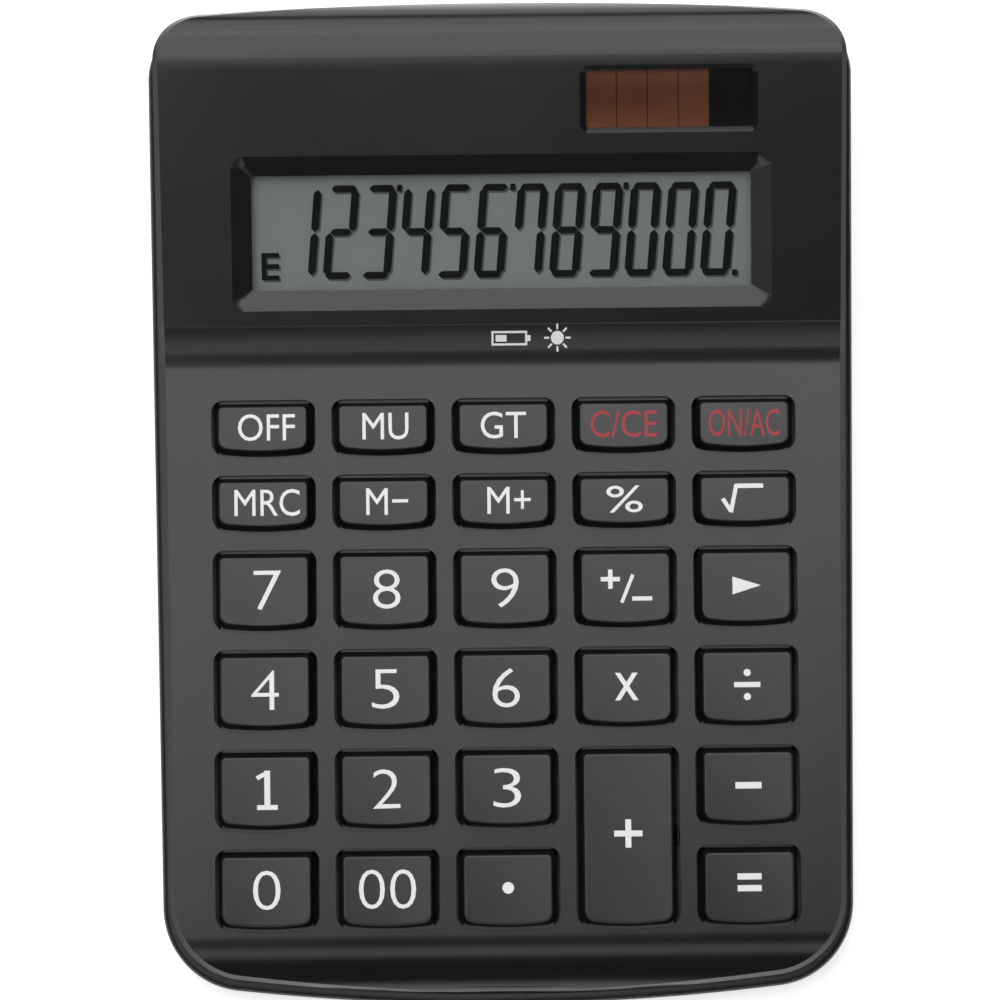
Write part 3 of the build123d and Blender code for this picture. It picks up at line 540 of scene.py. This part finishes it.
def key_mesh(node):
    """A cap that leans in, with a bowed front, round corners, a soft edge and a dished top."""
    x, y, level, width, height, bottom = key_shape(node)
    lean = 0.78 * MM
    back_radius, front_radius = 0.85 * MM, 1.45 * MM
    bow, top_bow = 0.5 * MM, 0.15 * MM
    strips = 6
    tall = level + sizes().key_stand - bottom
    half = width / 2 - CLEARANCE
    front = height / 2 - CLEARANCE
    bm = bmesh.new()
    bmesh.ops.create_cube(bm, size=1)
    bmesh.ops.scale(bm, vec=(2 * half, 2 * front, tall), verts=bm.verts)
    upright = [e for e in bm.edges if abs(e.verts[0].co.z - e.verts[1].co.z) > tall / 2]
    back = [e for e in upright if e.verts[0].co.y > 0]
    fore = [e for e in upright if e.verts[0].co.y < 0]
    round_edges(bm, back, back_radius, 6)
    round_edges(bm, fore, front_radius, 6)
    for strip in range(1 - strips, strips):
        cut_across(bm, (strip * half / strips, 0, 0), (1, 0, 0))
    for vertex in bm.verts:
        if vertex.co.y < 0:
            vertex.co.y += bow * (vertex.co.x / half) ** 2
    for vertex in bm.verts:
        if vertex.co.z > 0:
            if vertex.co.y < 0:
                vertex.co.y -= top_bow * (1 - (vertex.co.x / half) ** 2)
            vertex.co.x *= (half - lean) / half
            vertex.co.y *= (front - lean) / front
    top = [f for f in bm.faces if f.calc_center_median().z > tall / 2 - 0.01 * MM]
    inside = set(top)
    rim = [e for f in top for e in f.edges if any(other not in inside for other in e.link_faces)]
    round_edges(bm, rim, sizes().key_edge, 3)
    for vertex in bm.verts:
        if vertex.co.z > 0:
            vertex.co.z -= sizes().key_dish * (1 - (vertex.co.x / (half - lean)) ** 2)
    bmesh.ops.translate(bm, vec=(0, 0, (level + sizes().key_stand + bottom) / 2), verts=bm.verts)
    flange = bmesh.ops.create_cube(bm, size=1)["verts"]
    flange_size = (width - 2 * FLANGE_INSET, height + 2 * FLANGE_REACH, FLANGE_THICKNESS)
    bmesh.ops.scale(bm, vec=flange_size, verts=flange)
    bmesh.ops.translate(bm, vec=(0, 0, bottom + FLANGE_THICKNESS / 2), verts=flange)
    bmesh.ops.transform(bm, matrix=on_slope(sizes().deck_slope, x, y, 0), verts=bm.verts)
    return bm


class CALCULATOR_OT_keys(bpy.types.Operator):
    """Makes the caps of all the keys"""
    bl_idname = "calculator.keys"
    bl_label = "Keys"

    def execute(self, context):
        plastic = key_abs()
        sharp = math.radians(38)
        for node in key_names():
            piece = finished(key_mesh(node), node + "_cap", plastic, sharp)
            weigh_normals(piece)
            stand_in(piece, node, "key_plastic", node)
        return {"FINISHED"}


# ---------------------------------------------------------------- printed legends
# Heights, widths and shifts of the legends are in millimetres.
WORD_HEIGHT = 3.9
WORDS = {
    "key_off": ("OFF", 8.3), "key_markup": ("MU", 6.7), "key_grand_total": ("GT", 6.6),
    "key_clear_entry": ("C/CE", 9.7), "key_on_clear": ("ON/AC", 10.3), "key_memory_recall": ("MRC", 9.5),
    "key_memory_minus": ("M−", 6.1), "key_memory_plus": ("M+", 6.3), "key_percent": ("%", 5.3),
}
RED_KEYS = ("key_clear_entry", "key_on_clear")
TIMES_HEIGHT, TIMES_WIDTH = 4.0, 3.4
DIGIT_HEIGHT = 5.7
DIGIT_WIDTHS = {1: 4.0, 2: 8.3}     # of one digit and of two
DIGIT_THINNING = 0.012              # as a share of the size of the font
SHIFTS = {                          # printed this far to the right of the middle of the cap
    "key_off": 0.55, "key_markup": 0.35, "key_memory_recall": 0.55, "key_memory_minus": 0.5,
    "key_memory_plus": 0.7, "key_7": 0.5, "key_8": 0.3,
}


def letters(text, height, width, thin=0.0):
    """Text as a flat mesh, centred, of a height and a length, with its strokes thinned."""
    curve = bpy.data.curves.new("letters", "FONT")
    curve.body = text
    curve.align_x = "CENTER"
    curve.resolution_u = 4
    curve.offset = -thin
    holder = bpy.data.objects.new("letters", curve)
    bpy.context.scene.collection.objects.link(holder)
    bpy.context.view_layer.update()
    mesh = bpy.data.meshes.new_from_object(holder)
    bpy.data.objects.remove(holder)
    bpy.data.curves.remove(curve)
    bm = bmesh.new()
    bm.from_mesh(mesh)
    bpy.data.meshes.remove(mesh)
    low = Vector([min(v.co[i] for v in bm.verts) for i in range(3)])
    high = Vector([max(v.co[i] for v in bm.verts) for i in range(3)])
    rise = height / (high.y - low.y)
    reach = width / (high.x - low.x)
    bmesh.ops.translate(bm, vec=-(low + high) / 2, verts=bm.verts)
    bmesh.ops.scale(bm, vec=(reach, rise, 1), verts=bm.verts)
    return bm


def bar(bm, x, y, width, height, turn=0.0):
    """Adds a flat rectangle."""
    made = bmesh.ops.create_grid(bm, x_segments=1, y_segments=1, size=0.5)["verts"]
    bmesh.ops.scale(bm, vec=(width, height, 1), verts=made)
    bmesh.ops.rotate(bm, cent=(0, 0, 0), matrix=Matrix.Rotation(turn, 3, "Z"), verts=made)
    bmesh.ops.translate(bm, vec=(x, y, 0), verts=made)


def dot(bm, x, y, radius):
    """Adds a flat disc."""
    made = bmesh.ops.create_circle(bm, cap_ends=True, segments=24, radius=radius)["verts"]
    bmesh.ops.translate(bm, vec=(x, y, 0), verts=made)


def plus_sign(x=0.0, y=0.45, size=4.1, stroke=0.85):
    """A bar across, and a shorter one above and below it, so that no two overlap."""
    bm = bmesh.new()
    bar(bm, x * MM, y * MM, size * MM, stroke * MM)
    side = (size - stroke) / 2
    for way in (-1, 1):
        bar(bm, x * MM, (y + way * (stroke + side) / 2) * MM, stroke * MM, side * MM)
    return bm


def one():
    """The digit one: a stem with a flag and a foot."""
    bm = bmesh.new()
    bar(bm, 0.2 * MM, 0.3 * MM, 0.85 * MM, 5.1 * MM)
    bar(bm, 0.2 * MM, -2.5 * MM, 3.0 * MM, 0.7 * MM)
    bar(bm, -0.72 * MM, 2.05 * MM, 1.35 * MM, 0.62 * MM, math.radians(28))
    return bm


def minus_sign():
    bm = bmesh.new()
    bar(bm, 0, 0, 3.8 * MM, 0.95 * MM)
    return bm


def equals_sign():
    bm = bmesh.new()
    bar(bm, 0, 1.3 * MM, 3.5 * MM, 0.9 * MM)
    bar(bm, 0, -0.4 * MM, 3.5 * MM, 0.9 * MM)
    return bm


def divide_sign():
    bm = bmesh.new()
    bar(bm, 0, 0.1 * MM, 3.8 * MM, 0.75 * MM)
    dot(bm, 0, 1.85 * MM, 0.52 * MM)
    dot(bm, 0, -1.65 * MM, 0.52 * MM)
    return bm


def sign_change():
    bm = plus_sign(-2.2, 1.1, 2.8, 0.65)
    bar(bm, 0.25 * MM, -0.3 * MM, 0.5 * MM, 4.4 * MM, -math.radians(22))
    bar(bm, 2.4 * MM, -1.75 * MM, 2.9 * MM, 0.6 * MM)
    return bm


def arrow():
    bm = bmesh.new()
    made = bmesh.ops.create_circle(bm, cap_ends=True, segments=3, radius=1)["verts"]
    bmesh.ops.rotate(bm, cent=(0, 0, 0), matrix=Matrix.Rotation(-math.pi / 2, 3, "Z"), verts=made)
    bmesh.ops.scale(bm, vec=(2.75 * MM, 1.5 * MM, 1), verts=made)
    bmesh.ops.translate(bm, vec=(-0.6 * MM, 0, 0), verts=made)
    return bm


def root_sign():
    bm = bmesh.new()
    bar(bm, 0.7 * MM, 1.75 * MM, 3.9 * MM, 0.65 * MM)
    bar(bm, -1.65 * MM, -0.05 * MM, 0.6 * MM, 4.2 * MM, -math.radians(12))
    bar(bm, -2.65 * MM, -1.0 * MM, 0.6 * MM, 2.2 * MM, math.radians(33))
    return bm


def point_sign():
    bm = bmesh.new()
    dot(bm, 0, 0, 0.85 * MM)
    return bm


SIGNS = {
    "key_1": one,
    "key_root": root_sign, "key_sign": sign_change, "key_backspace": arrow, "key_divide": divide_sign,
    "key_plus": plus_sign, "key_minus": minus_sign, "key_equals": equals_sign, "key_point": point_sign,
}


def legend_mesh(node):
    """The flat shape of a key's legend."""
    if node in SIGNS:
        return SIGNS[node]()
    if node == "key_multiply":
        return letters("x", TIMES_HEIGHT * MM, TIMES_WIDTH * MM)
    if node in WORDS:
        text, width = WORDS[node]
        return letters(text, WORD_HEIGHT * MM, width * MM)
    digits = node[len("key_"):]
    return letters(digits, DIGIT_HEIGHT * MM, DIGIT_WIDTHS[len(digits)] * MM, DIGIT_THINNING)


class CALCULATOR_OT_legends(bpy.types.Operator):
    """Prints the legends on the keys"""
    bl_idname = "calculator.legends"
    bl_label = "Legends"

    def execute(self, context):
        white = ink("legend_pad_printed_white", colours().legend)
        red = ink("legend_pad_printed_red", colours().clear)
        for node in key_names():
            x, y, level = key_shape(node)[:3]
            x += SHIFTS.get(node, 0) * MM
            bm = legend_mesh(node)
            bmesh.ops.transform(bm, matrix=on_slope(sizes().deck_slope, x, y, level), verts=bm.verts)
            piece = finished(bm, node + "_legend", red if node in RED_KEYS else white)
            drop_print(piece, bpy.data.objects[node + "_cap"], sizes().print_height)
            stand_in(piece, node, "key_plastic")
        return {"FINISHED"}


# ---------------------------------------------------------------- display
SEGMENTS = {
    "1": "bc", "2": "abged", "3": "abgcd", "4": "fgbc", "5": "afgcd", "6": "afgedc", "7": "abcf",
    "8": "abcdefg", "9": "abcdfg", "0": "abcdef", "E": "afged"}


def segment(bm, x, y, length, width, upright):
    """One bar of a digit, with pointed ends."""
    half, side = length / 2, width / 2
    corners = [
        (half, 0), (half - side, side), (side - half, side),
        (-half, 0), (side - half, -side), (half - side, -side)]
    made = [bm.verts.new((*corner, 0)) for corner in corners]
    bm.faces.new(made)
    if upright:
        bmesh.ops.rotate(bm, cent=(0, 0, 0), matrix=Matrix.Rotation(math.pi / 2, 3, "Z"), verts=made)
    bmesh.ops.translate(bm, vec=(x, y, 0), verts=made)


def digit(bm, character, x, height, width, stroke):
    """A seven-bar character that stands on y = 0 with its left side at x."""
    gap = 0.12 * MM
    reach = 0.4 * stroke
    lying_stroke = 0.9 * stroke
    rise = (height - stroke) / 2
    run = width - stroke
    left = x + stroke / 2
    places = {
        "a": (left + run / 2, height - stroke / 2, run + reach, False),
        "g": (left + run / 2, height / 2, run - gap, False),
        "d": (left + run / 2, stroke / 2, run + reach, False),
        "f": (left, height - stroke / 2 - rise / 2, rise - gap, True),
        "e": (left, stroke / 2 + rise / 2, rise - gap, True),
        "b": (left + run, height - stroke / 2 - rise / 2, rise - gap, True),
        "c": (left + run, stroke / 2 + rise / 2, rise - gap, True),
    }
    for name in SEGMENTS[character]:
        across, up, length, upright = places[name]
        segment(bm, across, up, length, stroke if upright else lying_stroke, upright)


def letter_e(bm, left):
    """Adds the small E that stands for an error, made of bars, on y = 0."""
    height, stroke = 4.0 * MM, 0.7 * MM
    stem_x, stem = 0.38 * MM, 0.75 * MM
    arm_x, arm = 1.67 * MM, 1.85 * MM
    bar(bm, left + stem_x, height / 2, stem, height)
    for level in (stroke / 2, height / 2, height - stroke / 2):
        bar(bm, left + arm_x, level, arm, stroke)


def readout():
    """The number on the display, with its marks, as one flat mesh."""
    characters = "123456789000"
    marked = (2, 5, 8)
    mark, mark_height, mark_drop = 0.75 * MM, 1.0 * MM, 0.55 * MM
    point, point_height, point_inset, point_y = 0.8 * MM, 0.85 * MM, 0.35 * MM, 0.45 * MM
    left_margin, right_margin, foot_margin = 1.3 * MM, 3.1 * MM, 1.45 * MM
    low, high = tilted_box("display_window", sizes().brow_slope)
    right = WINDOW_WIDTH / 2
    foot = (low.y + high.y) / 2 - WINDOW_HEIGHT / 2 + foot_margin
    height = sizes().digit_height
    pitch = sizes().digit_pitch
    first = right - right_margin - (len(characters) - 1) * pitch - sizes().digit_width
    bm = bmesh.new()
    for place, character in enumerate(characters):
        left = first + place * pitch
        digit(bm, character, left, height, sizes().digit_width, sizes().segment_width)
        if place in marked:
            bar(bm, left + pitch - mark, height - mark_drop, mark, mark_height)
    bar(bm, first + len(characters) * pitch - point_inset, point_y, point, point_height)
    lean = Matrix.Identity(4)
    lean[0][1] = math.tan(sizes().digit_lean)
    bmesh.ops.transform(bm, matrix=lean, verts=bm.verts)
    letter_e(bm, left_margin - right)
    bmesh.ops.translate(bm, vec=(0, foot, 0), verts=bm.verts)
    return bm


class CALCULATOR_OT_display(bpy.types.Operator):
    """Shows a number on the display, under its clear window"""
    bl_idname = "calculator.display"
    bl_label = "Display"

    def execute(self, context):
        slope = sizes().brow_slope
        digit_lift, shade_lift = 0.06 * MM, 0.02 * MM
        shade_x, shade_y = 0.25 * MM, -0.3 * MM
        finish_nodes(display_glass(), "display_cell")
        finish_nodes(clear_acrylic(), "display_window")
        cell_top = tilted_box("display_cell", slope)[1].z
        digits = readout()
        place = on_slope(slope, 0, 0, cell_top + digit_lift)
        bmesh.ops.transform(digits, matrix=place, verts=digits.verts)
        stand_in(finished(digits, "display_digits", segment_dye()), "housing", "display_glass")
        shade = readout()
        place = on_slope(slope, shade_x, shade_y, cell_top + shade_lift)
        bmesh.ops.transform(shade, matrix=place, verts=shade.verts)
        stand_in(finished(shade, "display_digit_shade", segment_shadow()), "housing", "display_glass")
        return {"FINISHED"}


# ---------------------------------------------------------------- printed pictograms on the step
def sun_and_battery():
    """A battery that lies beside a sun, for the two ways the calculator is powered."""
    length, height, stroke = 5.2 * MM, 2.0 * MM, 0.3 * MM
    pole, pole_height = 0.5 * MM, 0.8 * MM
    charge_x, charge, charge_height = -1.2 * MM, 1.6 * MM, 0.9 * MM
    sun_x, sun_radius = 7.0 * MM, 0.95 * MM
    rays, reach, ray, ray_stroke = 8, 1.55 * MM, 0.75 * MM, 0.28 * MM
    bm = bmesh.new()
    bar(bm, 0, (height - stroke) / 2, length, stroke)
    bar(bm, 0, (stroke - height) / 2, length, stroke)
    for side in (-1, 1):
        bar(bm, side * (length - stroke) / 2, 0, stroke, height - 2 * stroke)
    bar(bm, (length + pole) / 2, 0, pole, pole_height)
    bar(bm, charge_x, 0, charge, charge_height)
    dot(bm, sun_x, 0, sun_radius)
    for step in range(rays):
        turn = 2 * math.pi * step / rays
        bar(bm, sun_x + reach * math.cos(turn), reach * math.sin(turn), ray, ray_stroke, turn)
    return bm


class CALCULATOR_OT_pictograms(bpy.types.Operator):
    """Prints a battery and a sun on the step below the display"""
    bl_idname = "calculator.pictograms"
    bl_label = "Pictograms"

    def execute(self, context):
        x, y = 1.0 * MM, 22.9 * MM
        bm = sun_and_battery()
        bmesh.ops.subdivide_edges(bm, edges=bm.edges, cuts=3, use_grid_fill=True)
        bmesh.ops.translate(bm, vec=(x, y, 0), verts=bm.verts)
        piece = finished(bm, "power_pictograms", ink("pictogram_pad_printed_white", colours().legend))
        drop_print(piece, bpy.data.objects["upper_case_moulding"], sizes().print_height)
        stand_in(piece, "housing", "case_plastic")
        return {"FINISHED"}


# ---------------------------------------------------------------- what keeps its solid
class CALCULATOR_OT_solar(bpy.types.Operator):
    """Finishes the solar cell and its window"""
    bl_idname = "calculator.solar"
    bl_label = "Solar Cell"

    def execute(self, context):
        finish_nodes(solar_film(), "solar_cell")
        finish_nodes(clear_acrylic(), "solar_window")
        return {"FINISHED"}


class CALCULATOR_OT_base_fittings(bpy.types.Operator):
    """Finishes the battery cover, screws and feet"""
    bl_idname = "calculator.base_fittings"
    bl_label = "Base Fittings"

    def execute(self, context):
        finish_nodes(base_abs(), "battery_door")
        finish_nodes(plated_steel(), "battery_door_screw", "case_screws", "board_screws")
        finish_nodes(rubber(), "rubber_feet")
        return {"FINISHED"}


class CALCULATOR_OT_inner_pieces(bpy.types.Operator):
    """Finishes what the case holds inside"""
    bl_idname = "calculator.inner_pieces"
    bl_label = "Inner Pieces"

    def execute(self, context):
        finish_nodes(inner_abs(), "display_holder", "controller_chip", "capacitor", "resistors")
        finish_nodes(silicone(), "rubber_keypad")
        finish_nodes(board_laminate(), "main_board")
        finish_nodes(flat_cable(), "display_connector")
        finish_nodes(cell_steel(), "battery_cell", "battery_contact_positive", "battery_contact_negative")
        finish_nodes(vinyl(), "battery_leads", "solar_leads")
        return {"FINISHED"}


# ---------------------------------------------------------------- stage
def aim(thing, place, target):
    thing.location = place
    thing.rotation_euler = (Vector(target) - Vector(place)).to_track_quat("-Z", "Y").to_euler()


def softbox(name, place, target, width, depth, radiance, turn=0.0):
    """An area lamp whose face is a plain brightness, turned about its own axis."""
    lamp = bpy.data.lights.new(name, "AREA")
    lamp.shape = "RECTANGLE"
    lamp.size = width
    lamp.size_y = depth
    lamp.energy = radiance * math.pi * width * depth
    holder = bpy.data.objects.new(name, lamp)
    bpy.context.scene.collection.objects.link(holder)
    aim(holder, place, target)
    holder.rotation_euler.rotate_axis("Z", turn)


def pale_paper():
    """Seamless paper: white to the camera and in reflections, with the object's shadow on it."""
    material, tree = new_material("stage_seamless_paper")
    path = add(tree, "ShaderNodeLightPath").outputs
    seen = add(tree, "ShaderNodeMath", {
        0: path["Is Camera Ray"], 1: path["Is Glossy Ray"]}, operation="MAXIMUM")
    seen = add(tree, "ShaderNodeMath", {
        0: seen.outputs[0], 1: path["Is Transmission Ray"]}, operation="MAXIMUM")
    glow = add(tree, "ShaderNodeMath", {0: seen.outputs[0], 1: 0.6}, operation="MULTIPLY")
    close(tree, add(tree, "ShaderNodeBsdfPrincipled", {
        "Base Color": linear("f4f4f4"), "Roughness": 0.9, "Specular IOR Level": 0.0,
        "Emission Color": linear("ffffff"), "Emission Strength": glow.outputs[0]}).outputs["BSDF"])
    return material


class CALCULATOR_OT_stage(bpy.types.Operator):
    """Sets the floor, lamps, world and camera"""
    bl_idname = "calculator.stage"
    bl_label = "Stage"

    def execute(self, context):
        bm = bmesh.new()
        bmesh.ops.create_grid(bm, x_segments=1, y_segments=1, size=3)
        floor = finished(bm, "stage_floor", pale_paper())
        softbox(
            "softbox_overhead", (-0.5, 0.93, 2.0), (-0.5, 0.93, 0), width=2.4, depth=2.6, radiance=2.2,
            turn=math.radians(13))
        softbox("softbox_left", (-0.82, -0.75, 1.9), (-0.82, -0.75, 0), width=1.1, depth=0.7, radiance=1.0)
        softbox("softbox_right", (0.36, 0.12, 1.9), (0.36, 0.12, 0), width=0.3, depth=0.3, radiance=2.0)
        softbox("softbox_front", (-0.1, -1.06, 1.5), (0, 0, 0), width=1.6, depth=0.45, radiance=1.15)
        softbox("softbox_back", (-0.2, 2.6, 1.4), (0, 0, 0), width=2.6, depth=1.6, radiance=1.9)
        world = bpy.data.worlds.new("studio")
        context.scene.world = world
        world.use_nodes = True
        tree = world.node_tree
        tree.nodes.clear()
        path = add(tree, "ShaderNodeLightPath").outputs
        level = add(tree, "ShaderNodeMapRange", {
            "Value": path["Is Camera Ray"], "To Min": 0.06, "To Max": 1.0})
        back = add(tree, "ShaderNodeBackground", {
            "Color": linear("ffffff"), "Strength": level.outputs["Result"]})
        add(tree, "ShaderNodeOutputWorld", {"Surface": back.outputs["Background"]})
        context.scene.view_settings.view_transform = "Standard"
        self.camera(context)
        return {"FINISHED"}

    def camera(self, context):
        """A camera nearly above the calculator, leaning a little towards its front."""
        data = bpy.data.cameras.new("camera")
        holder = bpy.data.objects.new("camera", data)
        context.scene.collection.objects.link(holder)
        away = 0.8
        shown = 0.1458                  # width of the view at the target
        sensor = 36
        lean, roll = math.radians(7), math.radians(-0.6)
        target = Vector((-0.0006, 0.0, 0.0178))
        holder.location = target + away * Vector((0, -math.sin(lean), math.cos(lean)))
        turn = (target - holder.location).to_track_quat("-Z", "Y").to_matrix().to_4x4()
        turn = turn @ Matrix.Rotation(roll, 4, "Z")
        holder.rotation_euler = turn.to_euler()
        data.sensor_width = sensor
        data.lens = sensor * away / shown
        data.shift_y = -0.003
        data.clip_start = 0.05
        context.scene.camera = holder


# ---------------------------------------------------------------- add-on
OPERATORS = (
    CALCULATOR_OT_upper_case, CALCULATOR_OT_lower_case, CALCULATOR_OT_keys, CALCULATOR_OT_legends,
    CALCULATOR_OT_display, CALCULATOR_OT_pictograms, CALCULATOR_OT_solar, CALCULATOR_OT_base_fittings,
    CALCULATOR_OT_inner_pieces, CALCULATOR_OT_stage,
)


class CALCULATOR_PT_panel(bpy.types.Panel):
    bl_label = "Desk Calculator"
    bl_idname = "CALCULATOR_PT_panel"
    bl_space_type = "VIEW_3D"
    bl_region_type = "UI"
    bl_category = "Calculator"

    def draw(self, context):
        for group in (context.scene.calculator_sizes, context.scene.calculator_colours):
            column = self.layout.column(align=True)
            for name in group.__annotations__:
                column.prop(group, name)
        for operator in OPERATORS:
            self.layout.operator(operator.bl_idname)


CLASSES = (CalculatorSizes, CalculatorColours, *OPERATORS, CALCULATOR_PT_panel)


def register():
    for cls in CLASSES:
        bpy.utils.register_class(cls)
    bpy.types.Scene.calculator_sizes = bpy.props.PointerProperty(type=CalculatorSizes)
    bpy.types.Scene.calculator_colours = bpy.props.PointerProperty(type=CalculatorColours)


def unregister():
    del bpy.types.Scene.calculator_colours
    del bpy.types.Scene.calculator_sizes
    for cls in reversed(CLASSES):
        bpy.utils.unregister_class(cls)


def main():
    register()
    bpy.ops.calculator.upper_case()
    bpy.ops.calculator.lower_case()
    bpy.ops.calculator.keys()
    bpy.ops.calculator.legends()
    bpy.ops.calculator.display()
    bpy.ops.calculator.pictograms()
    bpy.ops.calculator.solar()
    bpy.ops.calculator.base_fittings()
    bpy.ops.calculator.inner_pieces()
    bpy.ops.calculator.stage()


if __name__ == "__main__":
    main()
